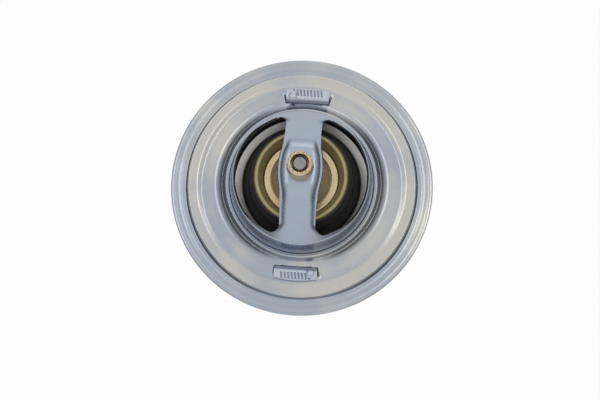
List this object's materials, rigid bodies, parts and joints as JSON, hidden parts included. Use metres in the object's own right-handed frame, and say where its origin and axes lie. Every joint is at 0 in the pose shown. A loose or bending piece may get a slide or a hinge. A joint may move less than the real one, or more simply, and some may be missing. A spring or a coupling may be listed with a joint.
{
  "type": "engine coolant regulator insert",
  "caption": "Wax-element coolant valve insert with a round pressed flange, an arched bridge, a rubber-coned valve on a coil spring and a sprung bypass disc.",
  "frame": {"origin": "on the axis, in the underside of the flange's rim", "axes": "+Z along the axis towards the bridge and the pin; the bridge's strap and the two folded tabs lie along Y; X runs across the strap"},
  "size_m": [0.076, 0.076, 0.0748],
  "materials": {
    "flange_steel": "satin",
    "bridge_steel": "satin",
    "seat_steel": "satin",
    "frame_steel": "satin",
    "bush_brass": "turned and staked",
    "pin_steel": "ground",
    "passivated_steel": "yellow passivated zinc",
    "seal_rubber": "moulded, semi-matte",
    "cup_brass": "drawn, satin",
    "guide_brass": "turned, oxidised",
    "sleeve_rubber": "moulded",
    "wax": "waxy",
    "backup_plastic": "smooth",
    "spring_steel": "drawn wire",
    "stem_brass": "turned"
  },
  "bodies": {
    "frame": {"flange_plate": "flange_steel", "bridge_frame": "bridge_steel", "seat_ring": "seat_steel", "lower_frame": "frame_steel", "adjusting_bush": "bush_brass", "piston": "pin_steel", "main_spring": "spring_steel"},
    "element": {"valve_plate": "passivated_steel", "valve_seal": "seal_rubber", "element_cup": "cup_brass", "element_guide": "guide_brass", "rubber_sleeve": "sleeve_rubber", "wax_charge": "wax", "backup_washer": "backup_plastic", "piston_wiper": "sleeve_rubber", "bypass_stem": "stem_brass", "spring_cup": "frame_steel", "bypass_spring": "spring_steel", "stop_washer": "frame_steel", "retaining_clip": "spring_steel"},
    "bypass": {"bypass_disc": "passivated_steel"}
  },
  "joints": [
    {"name": "element_slide", "type": "slide", "parent": "frame", "child": "element", "axis": [0, 0, -1], "range_m": [0, 0.0095], "stiffness_N_per_m": 3400, "springref_m": -0.011, "deforming": ["main_spring"]},
    {"name": "bypass_slide", "type": "slide", "parent": "element", "child": "bypass", "axis": [0, 0, 1], "range_m": [0, 0.0045], "stiffness_N_per_m": 3400, "springref_m": -0.0046, "deforming": ["bypass_spring"]}
  ]
}
